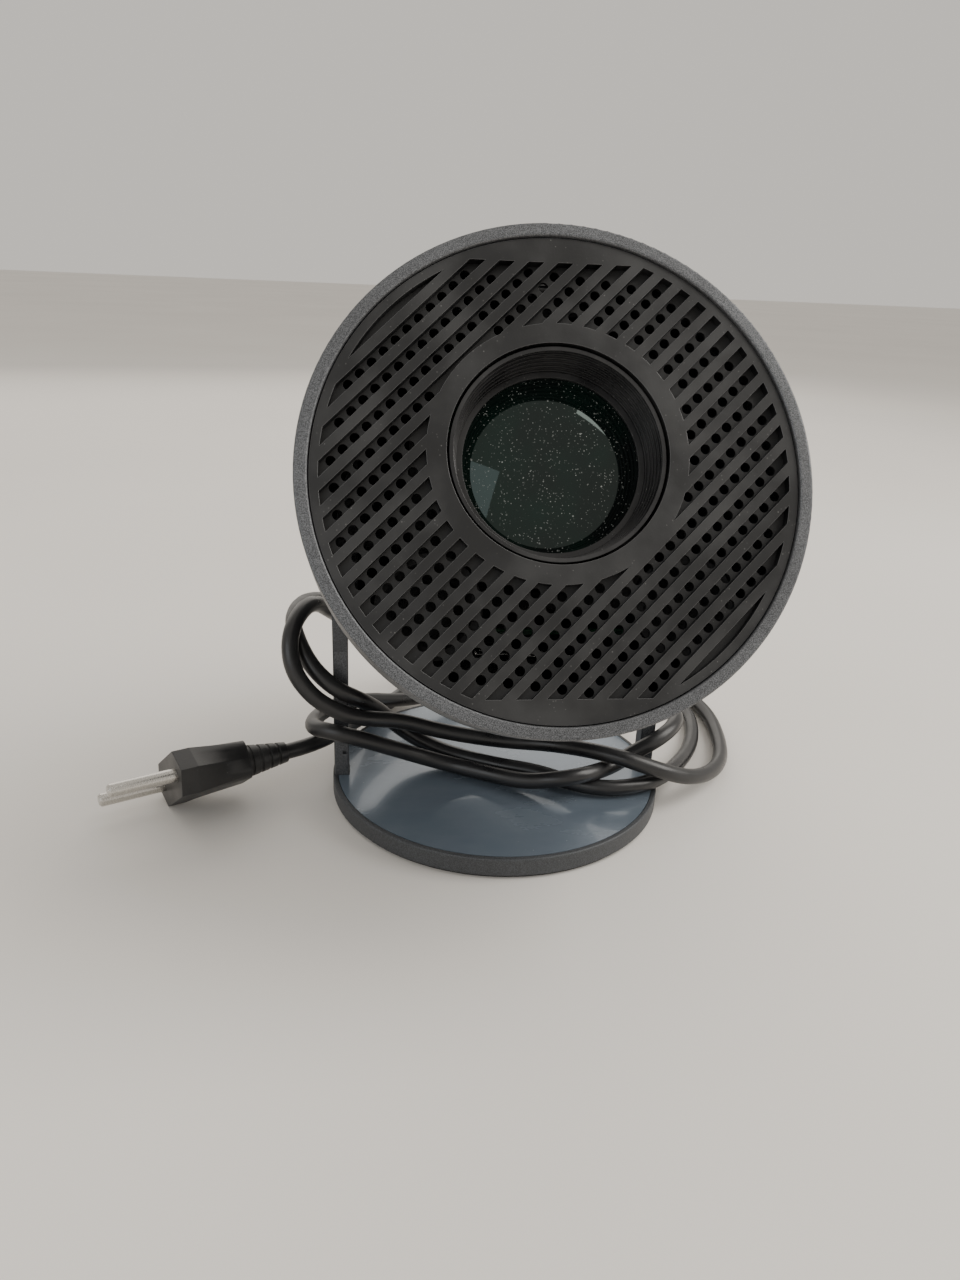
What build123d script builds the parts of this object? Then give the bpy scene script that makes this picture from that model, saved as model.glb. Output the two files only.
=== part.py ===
"""Home projector: a round projector head that tilts between the two arms of a disc stand.

Millimetres, +Z up. The origin is the centre of the stand's foot, on the surface it stands on.
The lens looks towards -Y and the head rests tilted upwards.
"""

from build123d import *
from math import atan2, cos, degrees, pi, radians, sin, sqrt, tan
import os

os.makedirs("parts", exist_ok=True)

# ------------------------------------------------------------------ driving dimensions
# Stand
DISC_RADIUS = 51.5            # outer radius of the base disc
DISC_TOP = 6.4                # height of the disc's top face
FOOT_THICKNESS = 0.8          # rubber ring below the disc
DISC_RIM = 1.4                # width of the rim round the glossy plate
PLATE_THICKNESS = 1.0         # glossy plate let into the disc
DISC_WEB = 1.8                # solid web left in the middle of the disc
WEIGHT_RADIUS = 45.0          # radius of the hollow for the weight
ARM_OUTSIDE = 51.0            # outer face of each arm, from the centre plane
ARM_THICKNESS = 4.5
ARM_DEPTH = 6.0
EAR_RADIUS = 11.0             # round pivot ear at the top of each arm
ARM_TAPER_START = 48.0        # height where the arm starts to widen
PIVOT_HEIGHT = 80.0
PIVOT_RADIUS = 3.0
# Head
REST_TILT = 27.0              # degrees that the lens points above the horizontal at rest
HEAD_RADIUS = 56.0
HEAD_FRONT = 80.0             # front edge of the ring, from the pivot
HEAD_REAR = 38.0              # rear face, from the pivot
REAR_RADIUS = 47.0            # shell where it meets the rear cover
REAR_ROUNDING = 10.0
WALL = 2.2
RING_LENGTH = 14.0
RING_WIDTH = 2.9
FLAT_GAP = 1.1                # from an arm's inner face to the flat on the head
GRILLE_THICKNESS = 2.4
GRILLE_RECESS = 0.8           # grille face below the ring's edge
SLAT_PITCH = 4.55
SLAT_GAP = 2.45
FIELD_RADIUS = 50.9           # slatted field
FIELD_HALF_HEIGHT = 47.3
LENS_RAISE = 5.2              # lens axis above the head's axis
APERTURE_RADIUS = 24.2
LENS_COLLAR_RADIUS = 28.5
HOLE_RADIUS = 1.1
HOLE_PITCH = 3.56
# Lens and focus
BARREL_RADIUS = 23.6
GUIDE_RADIUS = 21.0
GLASS_RADIUS = 21.0
GLASS_DEPTH = 11.3            # glass edge behind the ring's front edge
PINION_RADIUS = 4.0
WHEEL_RADIUS = 12.6
WHEEL_HEIGHT = 44.2           # wheel axle above the head's axis
WHEEL_PLACE = 50.0            # wheel axle in front of the pivot
# Buttons
BUTTON_RADIUS = 4.2
STRIP_TOP = 1.0               # top of the button strip above the shell
# Fits
RUNNING = 0.05                # radial clearance of a running fit
GAP = 0.2                     # clearance round pieces that fit without touching
# Mains lead
CORD_RADIUS = 2.5

# ------------------------------------------------------------------ derived places
FLAT = ARM_OUTSIDE - ARM_THICKNESS - FLAT_GAP
ARM_INSIDE = ARM_OUTSIDE - ARM_THICKNESS
SHELL_FRONT = HEAD_FRONT - RING_LENGTH
SHELL_REAR = REAR_ROUNDING - HEAD_REAR
FLAT_END = EAR_RADIUS + 4.0
GRILLE_FACE = HEAD_FRONT - GRILLE_RECESS
GRILLE_BACK = GRILLE_FACE - GRILLE_THICKNESS
GRILLE_RADIUS = HEAD_RADIUS - RING_WIDTH - 0.3
HOLE_PLATE = 0.8
PLATE_BACK = GRILLE_BACK - HOLE_PLATE
TAPER = atan2(HEAD_RADIUS - REAR_RADIUS, SHELL_FRONT - SHELL_REAR)

tilt = radians(REST_TILT)
head_axis = Plane(
    origin=(0, 0, PIVOT_HEIGHT), x_dir=(1, 0, 0), z_dir=(0, -cos(tilt), sin(tilt))
)
head_line = Axis(head_axis.origin, head_axis.z_dir)


def across(distance):
    """Plane across the head, this far in front of the pivot."""
    return head_axis.offset(distance)


def below_top(height):
    """Plane level with the head's top, this far above its axis; its y runs to the rear."""
    start = head_axis.from_local_coords((0, height, 0))
    return Plane(origin=start, x_dir=(1, 0, 0), z_dir=head_axis.y_dir)


def shell_radius(place):
    """Outer radius of the tapered shell, this far in front of the pivot."""
    return REAR_RADIUS + (place - SHELL_REAR) * tan(TAPER)


def upright(place):
    """Plane along the head at this x; its x runs to the rear and its y up."""
    start = (place, 0, PIVOT_HEIGHT)
    return Plane(origin=start, x_dir=-head_axis.z_dir, z_dir=(1, 0, 0))


def save(piece, name):
    """Label a finished piece and write it."""
    piece.label = name
    export_step(piece, f"parts/{name}.step")


# ------------------------------------------------------------------ stand
DISC_BOTTOM = FOOT_THICKNESS
PLATE_FLOOR = DISC_TOP - PLATE_THICKNESS
WEB_BOTTOM = PLATE_FLOOR - DISC_WEB
SCREW_PLACE = ARM_OUTSIDE - ARM_THICKNESS / 2
SCREW_RADIUS = 1.25
SCREW_HEAD = 2.3
SCREW_SEAT = 2.6
SCREW_TOP = 12.0
SIDES = (("left", -1), ("right", 1))

with BuildPart() as base_disc:
    with BuildSketch(Plane.XY.offset(DISC_BOTTOM)):
        Circle(DISC_RADIUS)
    extrude(amount=DISC_TOP - DISC_BOTTOM)
    fillet(base_disc.edges().group_by(Axis.Z)[-1], radius=0.5)
    chamfer(base_disc.edges().group_by(Axis.Z)[0], length=0.5)
    with BuildSketch(Plane.XY.offset(PLATE_FLOOR)):
        Circle(DISC_RADIUS - DISC_RIM)
        with Locations((-SCREW_PLACE, 0), (SCREW_PLACE, 0)):
            Rectangle(ARM_THICKNESS + GAP, ARM_DEPTH + GAP)
    extrude(amount=PLATE_THICKNESS + 1, mode=Mode.SUBTRACT)
    with BuildSketch(Plane.XY.offset(DISC_BOTTOM)):
        Circle(WEIGHT_RADIUS)
    extrude(amount=WEB_BOTTOM - DISC_BOTTOM, mode=Mode.SUBTRACT)
    with BuildSketch(Plane.XY.offset(DISC_BOTTOM)):
        with Locations((-SCREW_PLACE, 0), (SCREW_PLACE, 0)):
            Circle(SCREW_RADIUS)
    extrude(amount=DISC_TOP, mode=Mode.SUBTRACT)
    with BuildSketch(Plane.XY.offset(DISC_BOTTOM)):
        with Locations((-SCREW_PLACE, 0), (SCREW_PLACE, 0)):
            Circle(SCREW_HEAD)
    extrude(amount=SCREW_SEAT - DISC_BOTTOM, mode=Mode.SUBTRACT)
save(base_disc.part, "base_disc")

with BuildPart() as top_plate:
    with BuildSketch(Plane.XY.offset(PLATE_FLOOR)):
        Circle(DISC_RADIUS - DISC_RIM - GAP)
        with Locations((-SCREW_PLACE, 0), (SCREW_PLACE, 0)):
            Rectangle(ARM_THICKNESS + 2 * GAP, ARM_DEPTH + 2 * GAP, mode=Mode.SUBTRACT)
    extrude(amount=PLATE_THICKNESS)
save(top_plate.part, "top_plate")

with BuildPart() as base_weight:
    with BuildSketch(Plane.XY.offset(DISC_BOTTOM + 0.6)):
        Circle(WEIGHT_RADIUS - GAP)
    extrude(amount=WEB_BOTTOM - DISC_BOTTOM - 0.6)
save(base_weight.part, "base_weight")

with BuildPart() as foot_pad:
    with BuildSketch(Plane.XY):
        Circle(DISC_RADIUS - 1.2)
    extrude(amount=FOOT_THICKNESS)
save(foot_pad.part, "foot_pad")

with BuildPart() as arm_screws:
    with BuildSketch(Plane.XY.offset(SCREW_SEAT)):
        with Locations((-SCREW_PLACE, 0), (SCREW_PLACE, 0)):
            Circle(SCREW_RADIUS)
    extrude(amount=SCREW_TOP - SCREW_SEAT)
    with BuildSketch(Plane.XY.offset(SCREW_SEAT)):
        with Locations((-SCREW_PLACE, 0), (SCREW_PLACE, 0)):
            Circle(SCREW_HEAD - 0.1)
    extrude(amount=-1.4)
    with BuildSketch(Plane.XY.offset(SCREW_SEAT - 1.4)):
        with Locations((-SCREW_PLACE, 0), (SCREW_PLACE, 0)):
            Rectangle(3.0, 0.6)
            Rectangle(0.6, 3.0)
    extrude(amount=0.7, mode=Mode.SUBTRACT)
save(arm_screws.part, "arm_screws")

taper_top = PIVOT_HEIGHT - EAR_RADIUS * 0.7
taper_half = EAR_RADIUS * 0.7
for side, sign in SIDES:
    inner_face = Plane(
        origin=(sign * ARM_INSIDE, 0, 0), x_dir=(0, sign, 0), z_dir=(sign, 0, 0)
    )
    with BuildPart() as arm:
        with BuildSketch(inner_face):
            with BuildLine():
                Polyline(
                    (-ARM_DEPTH / 2, PLATE_FLOOR),
                    (ARM_DEPTH / 2, PLATE_FLOOR),
                    (ARM_DEPTH / 2, ARM_TAPER_START),
                    (taper_half, taper_top),
                    (-taper_half, taper_top),
                    (-ARM_DEPTH / 2, ARM_TAPER_START),
                    close=True,
                )
            make_face()
            with Locations((0, PIVOT_HEIGHT)):
                Circle(EAR_RADIUS)
        extrude(amount=ARM_THICKNESS)
        upright_edges = arm.edges().filter_by(Axis.Z)
        fillet(upright_edges, radius=0.5)
        with BuildSketch(inner_face):
            with Locations((0, PIVOT_HEIGHT)):
                Circle(PIVOT_RADIUS)
        extrude(amount=ARM_THICKNESS, mode=Mode.SUBTRACT)
        with BuildSketch(Plane.XY.offset(PLATE_FLOOR)):
            with Locations((sign * SCREW_PLACE, 0)):
                Circle(SCREW_RADIUS)
        extrude(amount=SCREW_TOP - PLATE_FLOOR, mode=Mode.SUBTRACT)
        with BuildSketch(Plane.XZ.offset(ARM_DEPTH / 2)):
            with Locations((sign * (ARM_INSIDE + 1.3), SCREW_TOP + 2.2)):
                Rectangle(1.1, 1.1)
        extrude(amount=-1.0, mode=Mode.SUBTRACT)
    save(arm.part, f"{side}_arm")

    with BuildPart() as pivot_bolt:
        bolt_tip = ARM_INSIDE - 9.5
        with BuildSketch(Plane.YZ.offset(sign * bolt_tip)):
            with Locations((0, PIVOT_HEIGHT)):
                Circle(PIVOT_RADIUS)
        extrude(amount=sign * (ARM_OUTSIDE - bolt_tip))
        with BuildSketch(Plane.YZ.offset(sign * ARM_OUTSIDE)):
            with Locations((0, PIVOT_HEIGHT)):
                Circle(5.0)
        extrude(amount=sign * 1.4)
        with BuildSketch(Plane.YZ.offset(sign * (ARM_OUTSIDE + 1.4))):
            with Locations((0, PIVOT_HEIGHT)):
                RegularPolygon(2.0, 6)
        extrude(amount=-sign * 1.0, mode=Mode.SUBTRACT)
    save(pivot_bolt.part, f"{side}_pivot_bolt")

    with BuildPart() as pivot_cap:
        with BuildSketch(Plane.YZ.offset(sign * ARM_OUTSIDE)):
            with Locations((0, PIVOT_HEIGHT)):
                Circle(8.6)
        extrude(amount=sign * 2.6)
        outer_edge = pivot_cap.edges().sort_by(Axis.X)[-1 if sign > 0 else 0]
        fillet(outer_edge, radius=0.8)
        with BuildSketch(Plane.YZ.offset(sign * ARM_OUTSIDE)):
            with Locations((0, PIVOT_HEIGHT)):
                Circle(5.2)
        extrude(amount=sign * 1.6, mode=Mode.SUBTRACT)
    save(pivot_cap.part, f"{side}_pivot_cap")

    with BuildPart() as friction_washer:
        with BuildSketch(Plane.YZ.offset(sign * ARM_INSIDE)):
            with Locations((0, PIVOT_HEIGHT)):
                Circle(9.0)
                Circle(PIVOT_RADIUS, mode=Mode.SUBTRACT)
        extrude(amount=-sign * (FLAT_GAP - 0.35))
    save(friction_washer.part, f"{side}_friction_washer")

# ------------------------------------------------------------------ head shells
RING_INSIDE = HEAD_RADIUS - RING_WIDTH
SHELL_INSIDE = HEAD_RADIUS - WALL
BOSS_RADIUS = 7.5
BOSS_LENGTH = 10.4
SLOT_HALF = 3.3               # half width of the focus wheel's slot
SLOT_LENGTH = 24.0
STRIP_WIDTH = 13.0
STRIP_REAR = -16.0
STRIP_FRONT = 35.0
STRIP_MIDDLE = (STRIP_FRONT + STRIP_REAR) / 2
deck = Plane(
    origin=head_axis.from_local_coords((0, shell_radius(STRIP_MIDDLE), STRIP_MIDDLE)),
    x_dir=(1, 0, 0),
    z_dir=head_axis.y_dir * cos(TAPER) - head_axis.z_dir * sin(TAPER),
)


def on_deck(height):
    """Plane along the shell's top, this far above it; its y runs to the rear."""
    return deck.offset(height)


# The room inside the shell, narrowed between the flats.
with BuildPart() as shell_room:
    with BuildSketch(across(SHELL_REAR)):
        Circle(REAR_RADIUS - WALL)
    with BuildSketch(across(SHELL_FRONT)):
        Circle(SHELL_INSIDE)
    loft()
    with BuildSketch(across(FLAT_END + WALL)):
        for sign in (-1, 1):
            with Locations((sign * (FLAT - WALL + HEAD_RADIUS / 2), 0)):
                Rectangle(HEAD_RADIUS, 3 * HEAD_RADIUS)
    extrude(amount=-2 * HEAD_RADIUS, mode=Mode.SUBTRACT)

with BuildPart() as main_shell:
    with BuildSketch(across(SHELL_REAR)):
        Circle(REAR_RADIUS)
    with BuildSketch(across(SHELL_FRONT)):
        Circle(HEAD_RADIUS)
    loft()
    with BuildSketch(across(FLAT_END)):
        for sign in (-1, 1):
            with Locations((sign * (FLAT + HEAD_RADIUS / 2), 0)):
                Rectangle(HEAD_RADIUS, 3 * HEAD_RADIUS)
    extrude(amount=-2 * HEAD_RADIUS, mode=Mode.SUBTRACT)
    add(shell_room.part, mode=Mode.SUBTRACT)
    for sign in (-1, 1):
        with BuildSketch(Plane.YZ.offset(sign * FLAT)):
            with Locations((0, PIVOT_HEIGHT)):
                Circle(BOSS_RADIUS)
        extrude(amount=-sign * BOSS_LENGTH)
        with BuildSketch(Plane.YZ.offset(sign * FLAT)):
            with Locations((0, PIVOT_HEIGHT)):
                Circle(PIVOT_RADIUS + RUNNING)
        extrude(amount=-sign * BOSS_LENGTH, mode=Mode.SUBTRACT)
    with BuildSketch(below_top(SHELL_INSIDE - 6)):
        with Locations((0, -WHEEL_PLACE)):
            Rectangle(2 * SLOT_HALF, SLOT_LENGTH)
    extrude(amount=12, mode=Mode.SUBTRACT)
    with BuildSketch(on_deck(-2 * WALL)):
        SlotOverall(STRIP_FRONT - STRIP_REAR + 2 * GAP, STRIP_WIDTH + 2 * GAP, rotation=90)
    extrude(amount=4 * WALL, mode=Mode.SUBTRACT)
save(main_shell.part, "main_shell")

with BuildPart() as front_ring:
    with BuildSketch(across(SHELL_FRONT)):
        Circle(HEAD_RADIUS)
        Circle(RING_INSIDE, mode=Mode.SUBTRACT)
    extrude(amount=RING_LENGTH)
    fillet(front_ring.edges().sort_by(head_line)[-2:], radius=0.45)
    with BuildSketch(across(SHELL_FRONT - 4)):
        Circle(SHELL_INSIDE - 4 * tan(TAPER) - 0.1)
        Circle(FIELD_RADIUS + 0.3, mode=Mode.SUBTRACT)
    extrude(amount=4)
    with BuildSketch(across(PLATE_BACK - 3)):
        Circle(RING_INSIDE)
        Circle(FIELD_RADIUS + 0.3, mode=Mode.SUBTRACT)
    extrude(amount=3)
    with BuildSketch(across(SHELL_FRONT)):
        Circle(RING_INSIDE)
        Circle(FIELD_RADIUS + 0.3, mode=Mode.SUBTRACT)
    extrude(amount=1.5)
save(front_ring.part, "front_ring")

# Slats lean from the lower left to the upper right, as seen from the front.
slat_rows = [row * SLAT_PITCH for row in range(-11, 12)]
with BuildPart() as front_grille:
    with BuildSketch(across(GRILLE_BACK)):
        Circle(GRILLE_RADIUS)
        with Locations((0, LENS_RAISE)):
            Circle(APERTURE_RADIUS, mode=Mode.SUBTRACT)
    extrude(amount=GRILLE_THICKNESS)
    with BuildSketch(across(GRILLE_BACK)):
        for row in slat_rows:
            with Locations((-row / sqrt(2), row / sqrt(2))):
                Rectangle(3 * FIELD_RADIUS, SLAT_GAP, rotation=45)
        Circle(FIELD_RADIUS, mode=Mode.INTERSECT)
        Rectangle(3 * FIELD_RADIUS, 2 * FIELD_HALF_HEIGHT, mode=Mode.INTERSECT)
        with Locations((0, LENS_RAISE)):
            Circle(LENS_COLLAR_RADIUS, mode=Mode.SUBTRACT)
    extrude(amount=GRILLE_THICKNESS, mode=Mode.SUBTRACT)
save(front_grille.part, "front_grille")

hole_places = []
for row in slat_rows:
    for step in range(-14, 15):
        run = step * HOLE_PITCH
        place_x = (run - row) / sqrt(2)
        place_y = (run + row) / sqrt(2)
        in_field = place_x**2 + place_y**2 < (FIELD_RADIUS - HOLE_RADIUS - 0.5) ** 2
        in_height = abs(place_y) < FIELD_HALF_HEIGHT - HOLE_RADIUS - 0.3
        off_lens = place_x**2 + (place_y - LENS_RAISE) ** 2 > (LENS_COLLAR_RADIUS + 1.4) ** 2
        if in_field and in_height and off_lens:
            hole_places.append((place_x, place_y))
with BuildPart() as perforated_plate:
    with BuildSketch(across(PLATE_BACK)):
        Circle(GRILLE_RADIUS)
        with Locations((0, LENS_RAISE)):
            Circle(APERTURE_RADIUS + 1.0, mode=Mode.SUBTRACT)
        with Locations(*hole_places):
            Circle(HOLE_RADIUS, mode=Mode.SUBTRACT)
    extrude(amount=HOLE_PLATE)
save(perforated_plate.part, "perforated_plate")

# ------------------------------------------------------------------ rear cover and sockets
SOCKET_ROW = -26.0            # height of the sockets' row from the head's axis
INLET_PLACE = -19.0
INLET_SIZE = (15.0, 9.6)
HDMI_PLACE = 2.0
HDMI_SIZE = (15.2, 5.8)
USB_PLACE = 19.5
USB_SIZE = (14.6, 7.2)
JACK_PLACE = (29.5, -19.0)
JACK_RADIUS = 3.6
WINDOW_HEIGHT = 31.0
WINDOW_SIZE = (14.0, 5.0)
VENT_RADIUS = 20.0
VENT_HEIGHT = 3.0
COVER_SCREWS = [(x, y) for x in (-29.5, 29.5) for y in (-6.0, 22.0)]
SCREW_R = 1.3
REAR_INSIDE = WALL - HEAD_REAR

with BuildPart() as rear_cover:
    with BuildSketch(across(-HEAD_REAR)):
        Circle(REAR_RADIUS)
    extrude(amount=HEAD_REAR + SHELL_REAR)
    rear_edge = rear_cover.edges().sort_by(head_line)[0]
    fillet(rear_edge, radius=REAR_ROUNDING - 0.02)
    with BuildSketch(across(SHELL_REAR)):
        for sign in (-1, 1):
            with Locations((sign * (FLAT + HEAD_RADIUS / 2), 0)):
                Rectangle(HEAD_RADIUS, 3 * HEAD_RADIUS)
    extrude(amount=-2 * REAR_ROUNDING, mode=Mode.SUBTRACT)
    with BuildSketch(across(SHELL_REAR)):
        Circle(REAR_RADIUS - WALL)
        Rectangle(2 * (FLAT - WALL), 3 * HEAD_RADIUS, mode=Mode.INTERSECT)
    with BuildSketch(across(REAR_INSIDE)):
        Circle(REAR_RADIUS - REAR_ROUNDING)
    loft(mode=Mode.SUBTRACT)
    with BuildSketch(across(REAR_INSIDE)):
        with Locations(*COVER_SCREWS):
            Circle(3.4)
    extrude(amount=REAR_ROUNDING - WALL - 4)
    with BuildSketch(across(-HEAD_REAR)):
        with Locations(*COVER_SCREWS):
            Circle(SCREW_R)
    extrude(amount=REAR_ROUNDING, mode=Mode.SUBTRACT)
    with BuildSketch(across(-HEAD_REAR)):
        with Locations(*COVER_SCREWS):
            Circle(2.6)
    extrude(amount=1.6, mode=Mode.SUBTRACT)
    with BuildSketch(across(-HEAD_REAR)):
        for row in range(-4, 5):
            height = row * 4.4
            with Locations((0, VENT_HEIGHT + height)):
                SlotOverall(2 * sqrt(VENT_RADIUS**2 - height**2), 2.4)
        with Locations((INLET_PLACE, SOCKET_ROW)):
            Rectangle(INLET_SIZE[0] + GAP, INLET_SIZE[1] + GAP)
        with Locations((HDMI_PLACE, SOCKET_ROW)):
            Rectangle(HDMI_SIZE[0] + GAP, HDMI_SIZE[1] + GAP)
        with Locations((USB_PLACE, SOCKET_ROW)):
            Rectangle(USB_SIZE[0] + GAP, USB_SIZE[1] + GAP)
        with Locations(JACK_PLACE):
            Circle(JACK_RADIUS + GAP / 2)
        with Locations((0, WINDOW_HEIGHT)):
            SlotOverall(WINDOW_SIZE[0] + GAP, WINDOW_SIZE[1] + GAP)
    extrude(amount=WALL + 4, mode=Mode.SUBTRACT)
save(rear_cover.part, "rear_cover")

with BuildPart() as cover_screws:
    with BuildSketch(across(-HEAD_REAR + 1.6)):
        with Locations(*COVER_SCREWS):
            Circle(SCREW_R)
    extrude(amount=9)
    with BuildSketch(across(-HEAD_REAR + 1.6)):
        with Locations(*COVER_SCREWS):
            Circle(2.4)
    extrude(amount=-1.3)
    with BuildSketch(across(-HEAD_REAR + 0.3)):
        with Locations(*COVER_SCREWS):
            Rectangle(2.8, 0.6)
            Rectangle(0.6, 2.8)
    extrude(amount=0.7, mode=Mode.SUBTRACT)
save(cover_screws.part, "cover_screws")

with BuildPart() as ac_inlet:
    with BuildSketch(across(-HEAD_REAR)):
        with Locations((INLET_PLACE, SOCKET_ROW)):
            RectangleRounded(INLET_SIZE[0], INLET_SIZE[1], 1.0)
    extrude(amount=13)
    with BuildSketch(across(-HEAD_REAR)):
        with Locations((INLET_PLACE - 3.1, SOCKET_ROW), (INLET_PLACE + 3.1, SOCKET_ROW)):
            Circle(3.7)
    extrude(amount=9, mode=Mode.SUBTRACT)
save(ac_inlet.part, "ac_inlet")

with BuildPart() as inlet_pins:
    with BuildSketch(across(-HEAD_REAR + 9)):
        with Locations((INLET_PLACE - 4.3, SOCKET_ROW), (INLET_PLACE + 4.3, SOCKET_ROW)):
            Circle(1.15)
    extrude(amount=-7.4)
save(inlet_pins.part, "inlet_pins")

with BuildPart() as hdmi_port:
    with BuildSketch(across(-HEAD_REAR + 0.4)):
        with Locations((HDMI_PLACE, SOCKET_ROW)):
            RectangleRounded(HDMI_SIZE[0], HDMI_SIZE[1], 0.8)
    extrude(amount=12)
    with BuildSketch(across(-HEAD_REAR + 0.4)):
        with Locations((HDMI_PLACE, SOCKET_ROW)):
            RectangleRounded(HDMI_SIZE[0] - 1.0, HDMI_SIZE[1] - 1.0, 0.5)
            Rectangle(HDMI_SIZE[0] - 4.0, 1.0, mode=Mode.SUBTRACT)
    extrude(amount=9, mode=Mode.SUBTRACT)
save(hdmi_port.part, "hdmi_port")

with BuildPart() as usb_port:
    with BuildSketch(across(-HEAD_REAR + 0.4)):
        with Locations((USB_PLACE, SOCKET_ROW)):
            RectangleRounded(USB_SIZE[0], USB_SIZE[1], 0.6)
    extrude(amount=13)
    with BuildSketch(across(-HEAD_REAR + 0.4)):
        with Locations((USB_PLACE, SOCKET_ROW)):
            RectangleRounded(USB_SIZE[0] - 1.0, USB_SIZE[1] - 1.0, 0.4)
        with Locations((USB_PLACE, SOCKET_ROW + 1.7)):
            Rectangle(USB_SIZE[0] - 3.4, 1.8, mode=Mode.SUBTRACT)
    extrude(amount=10, mode=Mode.SUBTRACT)
save(usb_port.part, "usb_port")

with BuildPart() as av_jack:
    with BuildSketch(across(-HEAD_REAR)):
        with Locations(JACK_PLACE):
            Circle(JACK_RADIUS)
    extrude(amount=11)
    with BuildSketch(across(-HEAD_REAR)):
        with Locations(JACK_PLACE):
            Circle(1.8)
    extrude(amount=9, mode=Mode.SUBTRACT)
save(av_jack.part, "av_jack")

with BuildPart() as ir_window:
    with BuildSketch(across(-HEAD_REAR + 0.2)):
        with Locations((0, WINDOW_HEIGHT)):
            SlotOverall(WINDOW_SIZE[0], WINDOW_SIZE[1])
    extrude(amount=WALL)
save(ir_window.part, "ir_window")

# ------------------------------------------------------------------ lens and focus drive
GLASS_EDGE = HEAD_FRONT - GLASS_DEPTH
BARREL_FRONT = HEAD_FRONT - 1.5
BARREL_STEP = HEAD_FRONT - 22.0  # where the wide front part meets the guide
BARREL_REAR = HEAD_FRONT - 44.0
RIB_COUNT = 6
RIB_STEP = (BARREL_RADIUS - 0.6 - GLASS_RADIUS - 0.4) / RIB_COUNT
lens_centre = (0, LENS_RAISE)

with BuildPart() as lens_barrel:
    with BuildSketch(across(BARREL_STEP)):
        with Locations(lens_centre):
            Circle(BARREL_RADIUS)
    extrude(amount=BARREL_FRONT - BARREL_STEP)
    with BuildSketch(across(BARREL_REAR)):
        with Locations(lens_centre):
            Circle(GUIDE_RADIUS)
    extrude(amount=BARREL_STEP - BARREL_REAR)
    rib_pitch = (BARREL_FRONT - GLASS_EDGE) / RIB_COUNT
    for rib in range(RIB_COUNT):
        bore = GLASS_RADIUS + 0.4 + (rib + 1) * RIB_STEP
        with BuildSketch(across(GLASS_EDGE + rib * rib_pitch)):
            with Locations(lens_centre):
                Circle(bore)
        extrude(amount=rib_pitch * 0.6, taper=-8, mode=Mode.SUBTRACT)
        with BuildSketch(across(GLASS_EDGE + (rib + 0.5) * rib_pitch)):
            with Locations(lens_centre):
                Circle(bore - 0.3)
        extrude(amount=rib_pitch * 0.55, mode=Mode.SUBTRACT)
    with BuildSketch(across(GLASS_EDGE)):
        with Locations(lens_centre):
            Circle(GLASS_RADIUS)
    extrude(amount=-5.5, mode=Mode.SUBTRACT)
    with BuildSketch(across(GLASS_EDGE)):
        with Locations(lens_centre):
            Circle(GLASS_RADIUS - 2.5)
    extrude(amount=BARREL_REAR - GLASS_EDGE - 1, mode=Mode.SUBTRACT)
save(lens_barrel.part, "lens_barrel")

lens_line = Axis(head_axis.from_local_coords((0, LENS_RAISE, 0)), head_axis.z_dir)


def lens_face(rim_place, rim_radius, rise):
    """Apex, middle and rim of a domed glass face, in the upright plane.

    A positive rise swells towards the front."""
    ball = (rim_radius**2 + rise**2) / (2 * abs(rise))
    half_turn = atan2(rim_radius, ball - abs(rise)) / 2
    middle_rise = abs(rise) - ball * (1 - cos(half_turn))
    toward = 1 if rise > 0 else -1
    apex = (-rim_place - rise, LENS_RAISE)
    middle = (-rim_place - toward * middle_rise, LENS_RAISE + ball * sin(half_turn))
    rim = (-rim_place, LENS_RAISE + rim_radius)
    return apex, middle, rim


LENSES = (
    # name, rim radius, front rim place, front rise, rear rim place, rear rise
    ("front_lens", GLASS_RADIUS - 0.1, GLASS_EDGE - 0.35, 3.4, GLASS_EDGE - 3.4, 1.0),
    ("rear_lens", GLASS_RADIUS - 2.6, GLASS_EDGE - 14, -1.2, GLASS_EDGE - 18, -2.2),
)
for name, rim_radius, front_place, front_rise, rear_place, rear_rise in LENSES:
    front_points = lens_face(front_place, rim_radius, front_rise)
    rear_points = lens_face(rear_place, rim_radius, rear_rise)
    with BuildPart() as glass:
        with BuildSketch(upright(0)):
            with BuildLine():
                ThreePointArc(*front_points)
                Line(front_points[2], rear_points[2])
                ThreePointArc(*rear_points)
                Line(rear_points[0], front_points[0])
            make_face()
        revolve(axis=lens_line)
    save(glass.part, name)

with BuildPart() as lens_retainer:
    with BuildSketch(across(GLASS_EDGE)):
        with Locations(lens_centre):
            Circle(GLASS_RADIUS + 0.35)
            Circle(GLASS_RADIUS - 1.0, mode=Mode.SUBTRACT)
    extrude(amount=0.9)
save(lens_retainer.part, "lens_retainer")

with BuildPart() as lens_spacer:
    with BuildSketch(across(GLASS_EDGE - 5.5)):
        with Locations(lens_centre):
            Circle(GLASS_RADIUS - 2.6)
            Circle(GLASS_RADIUS - 4.4, mode=Mode.SUBTRACT)
    extrude(amount=-6.5)
save(lens_spacer.part, "lens_spacer")

SLEEVE_REAR = BARREL_REAR - 3.5
SLEEVE_FRONT = BARREL_STEP - 4.0
with BuildPart() as lens_sleeve:
    with BuildSketch(across(SLEEVE_REAR)):
        with Locations(lens_centre):
            Circle(GUIDE_RADIUS + 2.4)
            Circle(GUIDE_RADIUS + RUNNING, mode=Mode.SUBTRACT)
    extrude(amount=SLEEVE_FRONT - SLEEVE_REAR)
    with BuildSketch(across(SLEEVE_REAR)):
        Rectangle(60, 46)
        with Locations(lens_centre):
            Circle(GUIDE_RADIUS + RUNNING, mode=Mode.SUBTRACT)
    extrude(amount=2.0)
save(lens_sleeve.part, "lens_sleeve")

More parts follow.
